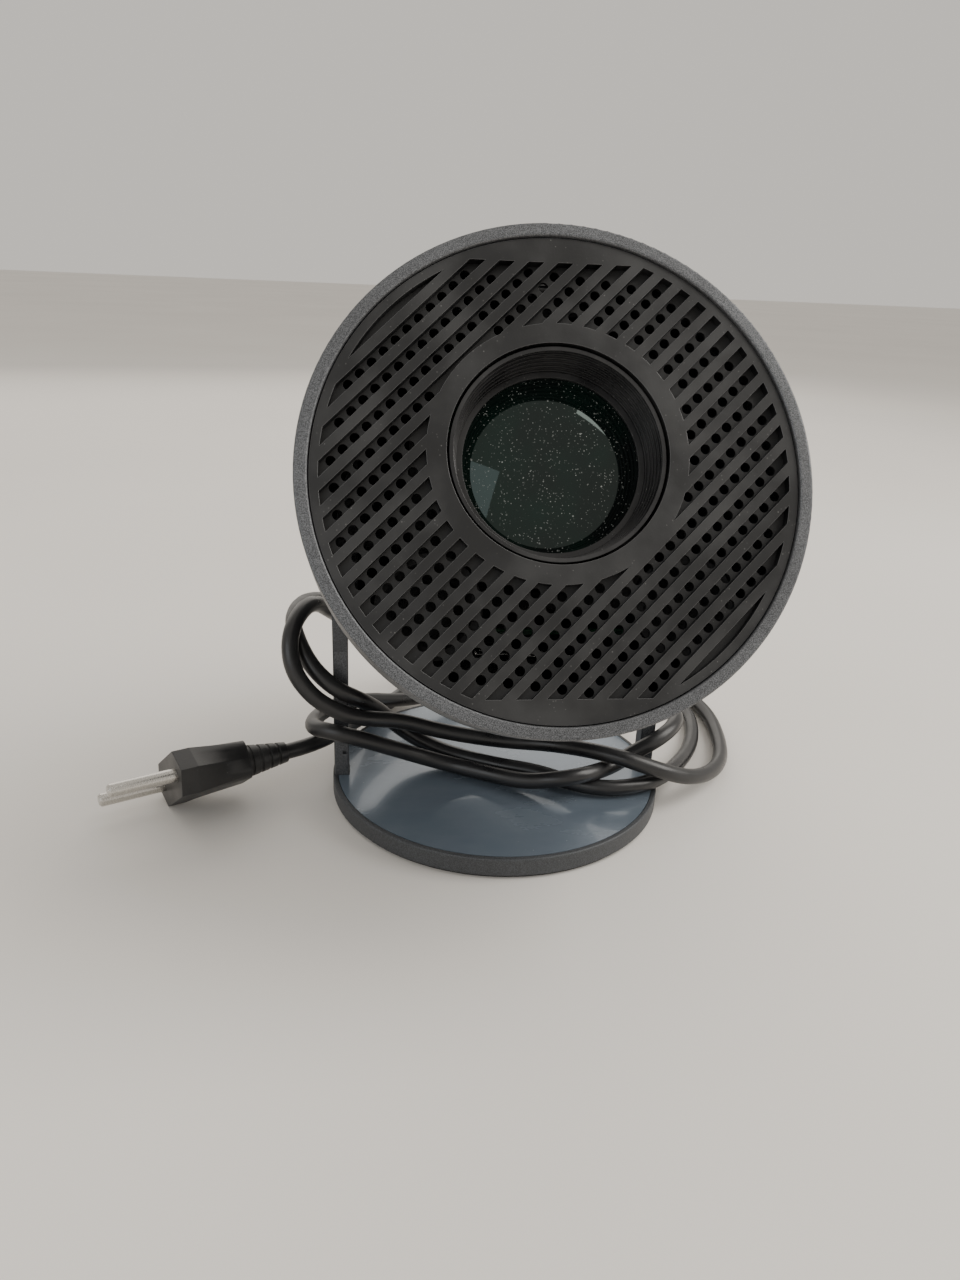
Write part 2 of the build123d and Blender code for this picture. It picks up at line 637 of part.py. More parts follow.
# The pinion beside the wheel drives a toothed post on the barrel.
TOOTH_PITCH = 2 * pi * PINION_RADIUS / 10
TOOTH_WIDTH = 0.9
TOOTH_RISE = 0.55
TOOTH_ROOT = 0.75
RACK_LEFT = 5.0
RACK_WIDTH = 4.0
RACK_LINE = WHEEL_HEIGHT - PINION_RADIUS
RACK_TEETH = 3
RACK_BAR = 2.4
POST_FOOT = LENS_RAISE + BARREL_RADIUS - 1.2
POST_REAR = BARREL_STEP + 1.0
POST_FRONT = BARREL_STEP + 9.0
with BuildPart() as focus_rack:
    rack_root = RACK_LINE - TOOTH_ROOT
    with BuildSketch(upright(RACK_LEFT)):
        with BuildLine():
            Polyline(
                (-POST_FRONT, rack_root),
                (-WHEEL_PLACE + 7, rack_root),
                (-WHEEL_PLACE + 7, rack_root - RACK_BAR),
                (-POST_REAR, rack_root - RACK_BAR),
                (-POST_REAR, POST_FOOT),
                (-POST_FRONT, POST_FOOT),
                close=True,
            )
        make_face()
        for tooth in range(-RACK_TEETH, RACK_TEETH):
            place = -WHEEL_PLACE + (tooth + 0.5) * TOOTH_PITCH
            with Locations((place, (rack_root + RACK_LINE + TOOTH_RISE) / 2)):
                Rectangle(TOOTH_WIDTH, TOOTH_RISE + TOOTH_ROOT)
    extrude(amount=RACK_WIDTH)
    with BuildSketch(across(BARREL_STEP)):
        with Locations(lens_centre):
            Circle(BARREL_RADIUS)
    extrude(amount=20, mode=Mode.SUBTRACT)
save(focus_rack.part, "focus_rack")

WHEEL_WIDTH = 5.0
AXLE_RADIUS = 1.5
AXLE_LEFT = -6.4
AXLE_RIGHT = 12.6
with BuildPart() as focus_wheel:
    with BuildSketch(upright(-WHEEL_WIDTH / 2)):
        with Locations((-WHEEL_PLACE, WHEEL_HEIGHT)):
            Circle(WHEEL_RADIUS)
            with PolarLocations(WHEEL_RADIUS + 0.25, 36):
                Circle(0.6, mode=Mode.SUBTRACT)
    extrude(amount=WHEEL_WIDTH)
    with BuildSketch(upright(RACK_LEFT - 0.6)):
        with Locations((-WHEEL_PLACE, WHEEL_HEIGHT)):
            Circle(PINION_RADIUS - TOOTH_ROOT)
            with PolarLocations(PINION_RADIUS - 0.35, 10, start_angle=-90):
                Rectangle(TOOTH_RISE * 2 + 0.7, TOOTH_WIDTH)
    extrude(amount=RACK_WIDTH + 1.2)
    with BuildSketch(upright(AXLE_LEFT)):
        with Locations((-WHEEL_PLACE, WHEEL_HEIGHT)):
            Circle(AXLE_RADIUS)
    extrude(amount=AXLE_RIGHT - AXLE_LEFT)
save(focus_wheel.part, "focus_wheel")

BRACKET_WALL = 2.2
BRACKET_LEFT = -4.2 - BRACKET_WALL
BRACKET_RIGHT = 10.4
BRACKET_FRONT = WHEEL_PLACE + WHEEL_RADIUS + 4.4
BRACKET_LOW = RACK_LINE + 0.4
BRACKET_TOP = 49.6
with BuildPart() as focus_bracket:
    for ear_left in (BRACKET_LEFT, BRACKET_RIGHT):
        with BuildSketch(upright(ear_left)):
            with Locations((-WHEEL_PLACE, (BRACKET_LOW + BRACKET_TOP) / 2)):
                Rectangle(9.0, BRACKET_TOP - BRACKET_LOW)
            with Locations((-(WHEEL_PLACE + BRACKET_FRONT) / 2, BRACKET_LOW + 2.3)):
                Rectangle(BRACKET_FRONT - WHEEL_PLACE, 4.6)
            with Locations((-WHEEL_PLACE, WHEEL_HEIGHT)):
                Circle(AXLE_RADIUS + RUNNING, mode=Mode.SUBTRACT)
        extrude(amount=BRACKET_WALL)
    with BuildSketch(upright(BRACKET_LEFT)):
        with Locations((-BRACKET_FRONT + 1.2, BRACKET_LOW + 2.3)):
            Rectangle(2.4, 4.6)
    extrude(amount=BRACKET_RIGHT + BRACKET_WALL - BRACKET_LEFT)
save(focus_bracket.part, "focus_bracket")

# ------------------------------------------------------------------ buttons
STRIP_BOTTOM = -3.4
BUTTONS = (
    ("power_button", STRIP_REAR + 9.0),
    ("volume_down_button", STRIP_REAR + 20.0),
    ("volume_up_button", STRIP_REAR + 31.0),
    ("menu_button", STRIP_REAR + 42.0),
)
BUTTON_PROUD = 1.1
BUTTON_FLANGE = 0.8
BOARD_TOP = STRIP_BOTTOM - 3.6

with BuildPart() as button_strip:
    with BuildSketch(on_deck(STRIP_BOTTOM)):
        SlotOverall(STRIP_FRONT - STRIP_REAR, STRIP_WIDTH, rotation=90)
    extrude(amount=STRIP_TOP - STRIP_BOTTOM)
    fillet(button_strip.edges().sort_by(Axis(deck.origin, deck.z_dir))[-4:], radius=0.5)
    with BuildSketch(on_deck(STRIP_BOTTOM)):
        for name, place in BUTTONS:
            with Locations((0, STRIP_MIDDLE - place)):
                Circle(BUTTON_RADIUS + 0.3)
    extrude(amount=STRIP_TOP - STRIP_BOTTOM, mode=Mode.SUBTRACT)
save(button_strip.part, "button_strip")

for name, place in BUTTONS:
    with BuildPart() as button:
        with BuildSketch(on_deck(STRIP_BOTTOM - BUTTON_FLANGE - 0.3)):
            with Locations((0, STRIP_MIDDLE - place)):
                Circle(BUTTON_RADIUS + 0.9)
        extrude(amount=BUTTON_FLANGE)
        with BuildSketch(on_deck(STRIP_BOTTOM - 0.5)):
            with Locations((0, STRIP_MIDDLE - place)):
                Circle(BUTTON_RADIUS)
        extrude(amount=STRIP_TOP + BUTTON_PROUD - STRIP_BOTTOM + 0.5)
        fillet(button.edges().sort_by(Axis(head_axis.origin, head_axis.y_dir))[-1], radius=0.6)
    save(button.part, name)

with BuildPart() as button_board:
    with BuildSketch(on_deck(BOARD_TOP)):
        Rectangle(12.0, STRIP_FRONT - STRIP_REAR - 6)
    extrude(amount=-1.2)
    with BuildSketch(on_deck(BOARD_TOP)):
        for name, place in BUTTONS:
            with Locations((0, STRIP_MIDDLE - place)):
                Rectangle(5.0, 5.0)
    extrude(amount=1.0)
save(button_board.part, "button_board")

# ------------------------------------------------------------------ optics, light, cooling, boards
ENGINE_FRONT = SLEEVE_REAR
ENGINE_REAR = -6.0
ENGINE_WIDTH = 60.0
ENGINE_HEIGHT = 46.0
PANEL_PLACE = 15.0
with BuildPart() as light_engine:
    with BuildSketch(across(ENGINE_REAR)):
        Rectangle(ENGINE_WIDTH, ENGINE_HEIGHT)
    extrude(amount=ENGINE_FRONT - ENGINE_REAR)
    with BuildSketch(across(ENGINE_REAR)):
        Rectangle(ENGINE_WIDTH - 4, ENGINE_HEIGHT - 4)
    extrude(amount=ENGINE_FRONT - ENGINE_REAR, mode=Mode.SUBTRACT)
save(light_engine.part, "light_engine")

SHEETS = (
    ("lcd_panel", PANEL_PLACE, 1.6),
    ("front_fresnel_lens", PANEL_PLACE + 4.5, 1.4),
    ("rear_fresnel_lens", PANEL_PLACE - 6.0, 1.4),
)
for name, place, thickness in SHEETS:
    with BuildPart() as sheet:
        with BuildSketch(across(place)):
            Rectangle(ENGINE_WIDTH - 4, ENGINE_HEIGHT - 4)
        extrude(amount=thickness)
    save(sheet.part, name)

with BuildPart() as led_module:
    with BuildSketch(across(ENGINE_REAR)):
        Rectangle(ENGINE_WIDTH, ENGINE_HEIGHT)
    extrude(amount=-1.6)
    with BuildSketch(across(ENGINE_REAR)):
        Circle(9.0)
    extrude(amount=3.0, taper=25)
save(led_module.part, "led_module")

SINK_FRONT = ENGINE_REAR - 1.6
SINK_REAR = -22.0
with BuildPart() as heatsink:
    with BuildSketch(across(SINK_FRONT)):
        Rectangle(50, 44)
    extrude(amount=-3)
    with BuildSketch(across(SINK_FRONT)):
        with GridLocations(4.0, 1, 12, 1):
            Rectangle(1.1, 44)
    extrude(amount=SINK_REAR - SINK_FRONT)
save(heatsink.part, "heatsink")

FAN_FRONT = SINK_REAR - 0.6
FAN_DEPTH = 10.0
FAN_SIZE = 46.0
ROTOR_RADIUS = 20.4
with BuildPart() as fan_frame:
    with BuildSketch(across(FAN_FRONT)):
        with Locations((0, VENT_HEIGHT)):
            RectangleRounded(FAN_SIZE, FAN_SIZE, 3)
            Circle(ROTOR_RADIUS + 0.7, mode=Mode.SUBTRACT)
    extrude(amount=-FAN_DEPTH)
    with BuildSketch(across(FAN_FRONT)):
        with Locations((0, VENT_HEIGHT)):
            Circle(9.0)
            Rectangle(3.0, FAN_SIZE - 2)
            Rectangle(FAN_SIZE - 2, 3.0)
            Circle(1.0 + RUNNING, mode=Mode.SUBTRACT)
    extrude(amount=-1.4)
save(fan_frame.part, "fan_frame")

with BuildPart() as fan_rotor:
    with BuildSketch(across(FAN_FRONT - 2.2)):
        with Locations((0, VENT_HEIGHT)):
            Circle(8.5)
    extrude(amount=-FAN_DEPTH + 3.0)
    for blade in range(7):
        turn = radians(blade * 360 / 7)
        middle = 14.0
        blade_place = (middle * cos(turn), VENT_HEIGHT + middle * sin(turn))
        with BuildSketch(across(FAN_FRONT - 2.6)):
            with Locations(blade_place):
                Rectangle(12.4, 1.4, rotation=degrees(turn) + 24)
        extrude(amount=-FAN_DEPTH + 4.0)
    with BuildSketch(across(FAN_FRONT - 0.1)):
        with Locations((0, VENT_HEIGHT)):
            Circle(1.0)
    extrude(amount=-4)
save(fan_rotor.part, "fan_rotor")

BOARD_LEVEL = -27.0
with BuildPart() as mainboard:
    with BuildSketch(below_top(BOARD_LEVEL)):
        with Locations((0, -4.0)):
            Rectangle(70, 46)
    extrude(amount=-1.6)
save(mainboard.part, "mainboard")

with BuildPart() as board_chips:
    with BuildSketch(below_top(BOARD_LEVEL - 1.6)):
        with Locations((-14, -8)):
            Rectangle(15, 15)
        with Locations((10, -2), (10, -14)):
            Rectangle(11, 8)
        with Locations((26, -10)):
            Rectangle(8, 8)
    extrude(amount=-1.4)
    with BuildSketch(below_top(BOARD_LEVEL - 1.6)):
        with Locations((-28, 4), (-28, -8), (24, 4)):
            Circle(3.0)
    extrude(amount=-5.5)
save(board_chips.part, "board_chips")

with BuildPart() as power_board:
    with BuildSketch(below_top(37.0)):
        with Locations((0, 2.0)):
            Rectangle(52, 34)
    extrude(amount=-1.6)
    with BuildSketch(below_top(35.4)):
        with Locations((-12, 2)):
            Rectangle(16, 14)
    extrude(amount=-8)
    with BuildSketch(below_top(35.4)):
        with Locations((12, -4), (12, 8)):
            Circle(4.0)
    extrude(amount=-8)
save(power_board.part, "power_board")

SPEAKER_RADIUS = 11.5
SPEAKER_PLACE = (28.0, -27.5)
for side, sign in SIDES:
    with BuildPart() as speaker:
        with BuildSketch(across(PLATE_BACK - 1.0)):
            with Locations((sign * SPEAKER_PLACE[0], SPEAKER_PLACE[1])):
                Circle(SPEAKER_RADIUS)
        extrude(amount=-3.0)
        with BuildSketch(across(PLATE_BACK - 4.0)):
            with Locations((sign * SPEAKER_PLACE[0], SPEAKER_PLACE[1])):
                Circle(SPEAKER_RADIUS - 1)
        extrude(amount=-6.0, taper=22)
        with BuildSketch(across(PLATE_BACK - 10.0)):
            with Locations((sign * SPEAKER_PLACE[0], SPEAKER_PLACE[1])):
                Circle(7.5)
        extrude(amount=-5.0)
        with BuildSketch(across(PLATE_BACK - 1.0)):
            with Locations((sign * SPEAKER_PLACE[0], SPEAKER_PLACE[1])):
                Circle(SPEAKER_RADIUS - 2)
        extrude(amount=-4.5, taper=40, mode=Mode.SUBTRACT)
    save(speaker.part, f"{side}_speaker")

# ------------------------------------------------------------------ mains lead
# The lead is wound three times round the arms and lies on the disc and the table.
# Its route runs from the appliance connector behind the stand to the wall plug on the left.
LEAD_ROUTE = (
    # out of the connector, round the left arm
    (-8, 64, 4.2), (-20, 57.5, 4.2), (-31, 47.5, 8), (-41, 37, 13.5), (-50.5, 25, 17.5),
    (-56.8, 11.5, 20), (-58.2, -2, 22.5),
    # first pass in front
    (-50.8, -8, 24), (-42, -7.3, 20.8), (-33, -6, 17), (-18, -2.5, 10), (-3.5, -9, 9.2),
    (7, -16, 10), (16.2, -21.5, 13.8), (25.5, -20.2, 14.6), (35, -11, 11.8),
    (43, -8, 15.2), (51, -7.9, 20), (58.8, 0, 21.2), (61.8, 11.5, 20),
    # first pass behind
    (62, 24, 19), (54, 45, 17), (36, 60, 16), (12, 68, 17), (-12, 66, 23), (-33, 58.5, 34),
    (-47, 49, 44), (-56.4, 38, 50.7), (-61.6, 22, 54.9), (-63.6, 7, 54.5),
    # second pass in front
    (-60.5, -2.5, 49.5), (-56.3, -6.3, 43.5), (-49.8, -8.3, 38), (-42.7, -3.8, 32.5),
    (-37, 4, 25.3), (-30, 6, 17.5), (-21, 4, 12.4), (-9.8, 1.5, 9.2), (1, -4.1, 9.2),
    (12, -8.3, 9.2), (21, -15.5, 9.2), (31, -19.8, 9.2), (41, -18.9, 9.2), (50, -14.5, 9.2),
    (59.4, -2.7, 7.2), (69, 13, 4), (76, 29, 2.8),
    # second pass behind
    (79.5, 46, 2.8), (74, 64, 2.8), (57, 81, 2.8), (34, 91, 3.2), (9, 92, 5),
    (-16, 82, 12.5), (-35, 64, 24), (-44.5, 44, 38), (-51, 26, 49.5), (-57.5, 9.5, 60.3),
    # third pass in front
    (-63, -4.5, 56.7), (-63, -10.8, 47), (-57.3, -11.6, 37.6), (-49, -10, 31.2), (-41, -8, 28.2),
    (-31, -1, 24.2), (-17, 3, 17.9), (2, 3.5, 14), (19, -0.5, 14.6), (33, -15.6, 19),
    (46, -19.5, 15.8), (59.2, -15.2, 9.6), (70, -6.2, 6), (78.5, 6.5, 4),
    # third pass behind, then across the table to the plug
    (84, 24, 2.8), (87, 44, 2.8), (83, 66, 2.8), (70, 86, 2.8), (48, 99, 2.8), (21, 103, 2.8),
    (-5, 95, 2.8), (-19, 79, 2.8), (-28.5, 63, 2.8), (-36.5, 48, 4), (-42.5, 34, 8),
    (-48.5, 20.5, 10.8), (-57.4, 6.6, 12), (-66.4, 2.1, 12),
)


def bend_radii(route):
    """Largest tangent arc at each corner: 0.45 of the shorter run over tan(half turn)."""
    radii = []
    corners = [Vector(*point) for point in route]
    for before, corner, after in zip(corners, corners[1:], corners[2:]):
        arriving = corner - before
        leaving = after - corner
        turn = radians(arriving.get_angle(leaving))
        radii.append(0.45 * min(arriving.length, leaving.length) / tan(turn / 2))
    return radii


lead_radii = bend_radii(LEAD_ROUTE)
print("lead bend radii, mm:", [round(radius, 1) for radius in lead_radii])
with BuildPart() as power_cord:
    with BuildLine() as lead_line:
        lead_path = FilletPolyline(*LEAD_ROUTE, radius=lead_radii)
    with BuildSketch(Plane(lead_path @ 0, z_dir=lead_path % 0)):
        Circle(CORD_RADIUS)
    sweep(path=lead_path)
print("lead length, mm:", round(lead_path.length, 1))
print("lead volume ratio:", power_cord.part.volume / (lead_path.length * pi * CORD_RADIUS**2))
save(power_cord.part, "power_cord")

# Appliance connector, figure-of-eight, flat on the table behind the disc.
CONNECTOR_LENGTH = 22.0
RELIEF_LENGTH = 12.0
connector_start = Vector(*LEAD_ROUTE[0])
connector_axis = connector_start - Vector(*LEAD_ROUTE[1])
connector_way = Plane(
    origin=connector_start, x_dir=(connector_axis.Y, -connector_axis.X, 0), z_dir=connector_axis
)
with BuildPart() as cord_connector:
    with BuildSketch(connector_way):
        Circle(CORD_RADIUS + 0.6)
    with BuildSketch(connector_way.offset(RELIEF_LENGTH)):
        Circle(3.9)
    loft()
    with BuildSketch(connector_way.offset(RELIEF_LENGTH)):
        SlotOverall(14.6, 8.0)
    extrude(amount=CONNECTOR_LENGTH)
    with BuildSketch(connector_way.offset(RELIEF_LENGTH + CONNECTOR_LENGTH)):
        with Locations((-4.3, 0), (4.3, 0)):
            Circle(1.3)
    extrude(amount=-9, mode=Mode.SUBTRACT)
save(cord_connector.part, "cord_connector")

# Flat two-pin wall plug lying on the table.
PLUG_RELIEF = 14.0
PLUG_BODY = 22.0
PLUG_HALF_WIDTH = 16.5
PLUG_HALF_HEIGHT = 6.7
PIN_LENGTH = 19.0
PIN_SPACING = 18.6
PLUG_ROLL = 36.0              # it leans on one edge of its body
plug_start = Vector(*LEAD_ROUTE[-1])
plug_run = plug_start - Vector(*LEAD_ROUTE[-2])
plug_axis = Vector(plug_run.X, plug_run.Y, 0).normalized()
roll = radians(PLUG_ROLL)
plug_side = Vector(-plug_axis.Y * cos(roll), plug_axis.X * cos(roll), sin(roll))
plug_way = Plane(origin=plug_start, x_dir=plug_side, z_dir=plug_axis)
with BuildPart() as plug_relief:
    with BuildSketch(plug_way):
        Circle(CORD_RADIUS + 0.7)
    with BuildSketch(plug_way.offset(PLUG_RELIEF)):
        Circle(5.2)
    loft()
    for rib in range(4):
        with BuildSketch(plug_way.offset(2.5 + 3.0 * rib)):
            Circle(7.0)
            Circle(3.0 + 0.45 * rib, mode=Mode.SUBTRACT)
        extrude(amount=0.9, mode=Mode.SUBTRACT)
save(plug_relief.part, "plug_relief")

with BuildPart() as plug_body:
    with BuildSketch(plug_way.offset(PLUG_RELIEF)):
        RectangleRounded(17.0, 11.6, 3.0)
    with BuildSketch(plug_way.offset(PLUG_RELIEF + PLUG_BODY - 5)):
        with BuildLine():
            hexagon = [
                (PLUG_HALF_WIDTH, 0),
                (PLUG_HALF_WIDTH - 6, PLUG_HALF_HEIGHT),
                (6 - PLUG_HALF_WIDTH, PLUG_HALF_HEIGHT),
                (-PLUG_HALF_WIDTH, 0),
                (6 - PLUG_HALF_WIDTH, -PLUG_HALF_HEIGHT),
                (PLUG_HALF_WIDTH - 6, -PLUG_HALF_HEIGHT),
            ]
            Polyline(*hexagon, close=True)
        make_face()
    loft()
    extrude(plug_body.faces().sort_by(Axis(plug_start, plug_axis))[-1], amount=5)
save(plug_body.part, "plug_body")

with BuildPart() as plug_pins:
    with BuildSketch(plug_way.offset(PLUG_RELIEF + PLUG_BODY)):
        with Locations((-PIN_SPACING / 2, 0), (PIN_SPACING / 2, 0)):
            Circle(2.0)
    extrude(amount=PIN_LENGTH)
    chamfer(plug_pins.edges().group_by(Axis(plug_start, plug_axis))[-1], length=0.6)
save(plug_pins.part, "plug_pins")
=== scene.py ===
import math

import bmesh
import bpy
from mathutils import Matrix, Vector


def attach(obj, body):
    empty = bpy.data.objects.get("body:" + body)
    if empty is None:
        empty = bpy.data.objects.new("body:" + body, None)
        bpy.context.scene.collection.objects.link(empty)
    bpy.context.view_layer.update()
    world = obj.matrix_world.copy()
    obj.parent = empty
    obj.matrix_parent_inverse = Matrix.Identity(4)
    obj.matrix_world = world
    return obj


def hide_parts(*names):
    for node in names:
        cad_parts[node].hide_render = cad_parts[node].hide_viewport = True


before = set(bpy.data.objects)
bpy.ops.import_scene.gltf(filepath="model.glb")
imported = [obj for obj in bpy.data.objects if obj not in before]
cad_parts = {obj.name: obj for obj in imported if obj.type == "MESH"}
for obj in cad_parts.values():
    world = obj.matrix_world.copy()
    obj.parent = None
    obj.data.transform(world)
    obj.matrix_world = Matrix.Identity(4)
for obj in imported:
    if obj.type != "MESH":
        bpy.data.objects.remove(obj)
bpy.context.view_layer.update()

MM = 0.001


# ------------------------------------------------------------------ node helpers
def new_material(name):
    """A node material with its shader, ready to link."""
    material = bpy.data.materials.new(name)
    material.use_nodes = True
    nodes = material.node_tree.nodes
    return material, nodes, material.node_tree.links, nodes["Principled BSDF"]


def noise(nodes, links, scale, detail=3.0, roughness=0.5, stretch=None):
    """Noise in the row frame; scale is in cycles per metre."""
    place = nodes.new("ShaderNodeTexCoord")
    texture = nodes.new("ShaderNodeTexNoise")
    texture.inputs["Scale"].default_value = scale
    texture.inputs["Detail"].default_value = detail
    texture.inputs["Roughness"].default_value = roughness
    if stretch:
        mapping = nodes.new("ShaderNodeMapping")
        mapping.inputs["Scale"].default_value = stretch
        links.new(place.outputs["Object"], mapping.inputs["Vector"])
        links.new(mapping.outputs["Vector"], texture.inputs["Vector"])
    else:
        links.new(place.outputs["Object"], texture.inputs["Vector"])
    return texture.outputs["Fac"]


def specks(nodes, links, scale, size):
    """Small round dots, 1 in the dot and 0 outside; size is the dot's share of its cell."""
    place = nodes.new("ShaderNodeTexCoord")
    cells = nodes.new("ShaderNodeTexVoronoi")
    cells.inputs["Scale"].default_value = scale
    links.new(place.outputs["Object"], cells.inputs["Vector"])
    return ramp(nodes, links, cells.outputs["Distance"], size * 0.6, size, (1, 1, 1), (0, 0, 0))


def ramp(nodes, links, value, low, high, low_colour, high_colour):
    """Colour that runs from one value to another."""
    node = nodes.new("ShaderNodeValToRGB")
    node.color_ramp.elements[0].position = low
    node.color_ramp.elements[1].position = high
    node.color_ramp.elements[0].color = (*low_colour, 1)
    node.color_ramp.elements[1].color = (*high_colour, 1)
    links.new(value, node.inputs["Fac"])
    return node.outputs["Color"]


def spread(nodes, links, value, low, high):
    """Maps a 0.35 to 0.65 noise to a range."""
    node = nodes.new("ShaderNodeMapRange")
    node.inputs["From Min"].default_value = 0.35
    node.inputs["From Max"].default_value = 0.65
    node.inputs["To Min"].default_value = low
    node.inputs["To Max"].default_value = high
    links.new(value, node.inputs["Value"])
    return node.outputs["Result"]


def mix(nodes, links, factor, first, second, blend="MIX"):
    """Mixes two colours; factor is a number or a socket."""
    node = nodes.new("ShaderNodeMix")
    node.data_type = "RGBA"
    node.blend_type = blend
    for socket, value in ((node.inputs[0], factor), (node.inputs[6], first), (node.inputs[7], second)):
        if isinstance(value, bpy.types.NodeSocket):
            links.new(value, socket)
        elif isinstance(value, tuple):
            socket.default_value = (*value, 1)
        else:
            socket.default_value = value
    return node.outputs[2]


def bump(nodes, links, shader, heights, distance, strength=0.5, edge=None):
    """Bump from a height, over softened edges when edge gives their radius in metres."""
    node = nodes.new("ShaderNodeBump")
    node.inputs["Strength"].default_value = strength
    node.inputs["Distance"].default_value = distance
    links.new(heights, node.inputs["Height"])
    if edge:
        soft = nodes.new("ShaderNodeBevel")
        soft.samples = 4
        soft.inputs["Radius"].default_value = edge
        links.new(soft.outputs["Normal"], node.inputs["Normal"])
    links.new(node.outputs["Normal"], shader.inputs["Normal"])


# ------------------------------------------------------------------ materials
def speckled(name, dark, light, roughness, metallic, grain=5200, edge=0.00025):
    """Paint or plastic with a fine metallic speckle, faint smudges and soft edges."""
    material, nodes, links, shader = new_material(name)
    fine = noise(nodes, links, grain, 2, 0.6)
    broad = noise(nodes, links, 45, 4)
    flakes = ramp(nodes, links, fine, 0.40, 0.64, dark, light)
    shade = ramp(nodes, links, broad, 0.3, 0.7, (0.86, 0.86, 0.86), (1, 1, 1))
    links.new(mix(nodes, links, 1.0, flakes, shade, "MULTIPLY"), shader.inputs["Base Color"])
    links.new(spread(nodes, links, broad, roughness - 0.06, roughness + 0.08), shader.inputs["Roughness"])
    shader.inputs["Metallic"].default_value = metallic
    bump(nodes, links, shader, fine, 0.00006, 0.5, edge)
    return material


def plastic(name, colour, roughness, grain=1800, depth=0.00004, dust=0.0, edge=0.00012, coat=0.0):
    """Moulded plastic: fine grain, uneven gloss and, if asked, a little pale dust."""
    material, nodes, links, shader = new_material(name)
    fine = noise(nodes, links, grain, 3)
    broad = noise(nodes, links, 70, 5)
    paler = tuple(min(1, c * 1.25 + 0.004) for c in colour)
    body = ramp(nodes, links, broad, 0.35, 0.68, colour, paler)
    if dust:
        cloud = ramp(nodes, links, noise(nodes, links, 160, 8, 0.75), 0.5, 0.78, (0, 0, 0), (dust, dust, dust))
        motes = specks(nodes, links, 900, 0.16)
        where = mix(nodes, links, 1.0, motes, cloud, "MULTIPLY")
        body = mix(nodes, links, where, body, (0.55, 0.54, 0.52))
        body = mix(nodes, links, ramp(nodes, links, broad, 0.45, 0.9, (0, 0, 0), (dust * 0.12,) * 3),
                   body, (0.42, 0.42, 0.41))
    links.new(body, shader.inputs["Base Color"])
    links.new(spread(nodes, links, broad, roughness - 0.07, roughness + 0.09), shader.inputs["Roughness"])
    shader.inputs["Coat Weight"].default_value = coat
    shader.inputs["Coat Roughness"].default_value = 0.08
    bump(nodes, links, shader, fine, depth, 0.4, edge)
    return material


def painted_edge_highlight(nodes, links, shader, width, colour, amount):
    """Paints a highlight: lightens the base colour along sharp edges, found where a softened normal bends away.
    """
    soft = nodes.new("ShaderNodeBevel")
    soft.samples = 8
    soft.inputs["Radius"].default_value = width
    true_normal = nodes.new("ShaderNodeNewGeometry")
    agree = nodes.new("ShaderNodeVectorMath")
    agree.operation = "DOT_PRODUCT"
    links.new(soft.outputs["Normal"], agree.inputs[0])
    links.new(true_normal.outputs["True Normal"], agree.inputs[1])
    # Painted highlight: this edge mask lightens the colour along every sharp edge.
    edge = ramp(nodes, links, agree.outputs["Value"], 0.80, 0.98, (amount,) * 3, (0, 0, 0))
    body = shader.inputs["Base Color"].links[0].from_socket
    links.new(mix(nodes, links, edge, body, colour), shader.inputs["Base Color"])


def grille_plastic():
    """Black slats with a painted highlight, a thin pale line along each edge, and a little dust."""
    material = plastic("grille_black", (0.0060, 0.0062, 0.0068), 0.40, dust=0.45, edge=0.00022)
    tree = material.node_tree
    # The pale line along each slat edge is a painted highlight.
    painted_edge_highlight(tree.nodes, tree.links, tree.nodes["Principled BSDF"], 0.00022, (0.16, 0.16, 0.165), 0.8)
    return material


def metal(name, colour, roughness, stretch=(1, 1, 1), grain=1400):
    """Bare metal with a drawn or blasted grain."""
    material, nodes, links, shader = new_material(name)
    grain_value = noise(nodes, links, grain, 4, 0.6, stretch)
    darker = tuple(c * 0.72 for c in colour)
    links.new(ramp(nodes, links, grain_value, 0.3, 0.7, darker, colour), shader.inputs["Base Color"])
    links.new(spread(nodes, links, grain_value, roughness - 0.08, roughness + 0.1), shader.inputs["Roughness"])
    shader.inputs["Metallic"].default_value = 1.0
    bump(nodes, links, shader, grain_value, 0.00002, 0.3, 0.0002)
    return material


def mirror_plate():
    """The disc's glossy blue-grey top, with faint wipe marks and a few motes of dust."""
    material, nodes, links, shader = new_material("mirror_plate")
    broad = noise(nodes, links, 28, 5, 0.6, (1, 2.2, 1))
    body = ramp(nodes, links, broad, 0.35, 0.7, (0.135, 0.170, 0.212), (0.172, 0.208, 0.250))
    motes = mix(nodes, links, 1.0, specks(nodes, links, 420, 0.09),
                ramp(nodes, links, noise(nodes, links, 60, 6), 0.48, 0.7, (0, 0, 0), (0.5, 0.5, 0.5)), "MULTIPLY")
    links.new(mix(nodes, links, motes, body, (0.6, 0.6, 0.6)), shader.inputs["Base Color"])
    links.new(spread(nodes, links, broad, 0.20, 0.30), shader.inputs["Roughness"])
    shader.inputs["Metallic"].default_value = 0.3
    shader.inputs["Coat Weight"].default_value = 0.35
    shader.inputs["Coat Roughness"].default_value = 0.05
    bump(nodes, links, shader, noise(nodes, links, 600, 2), 0.00001, 0.15)
    return material


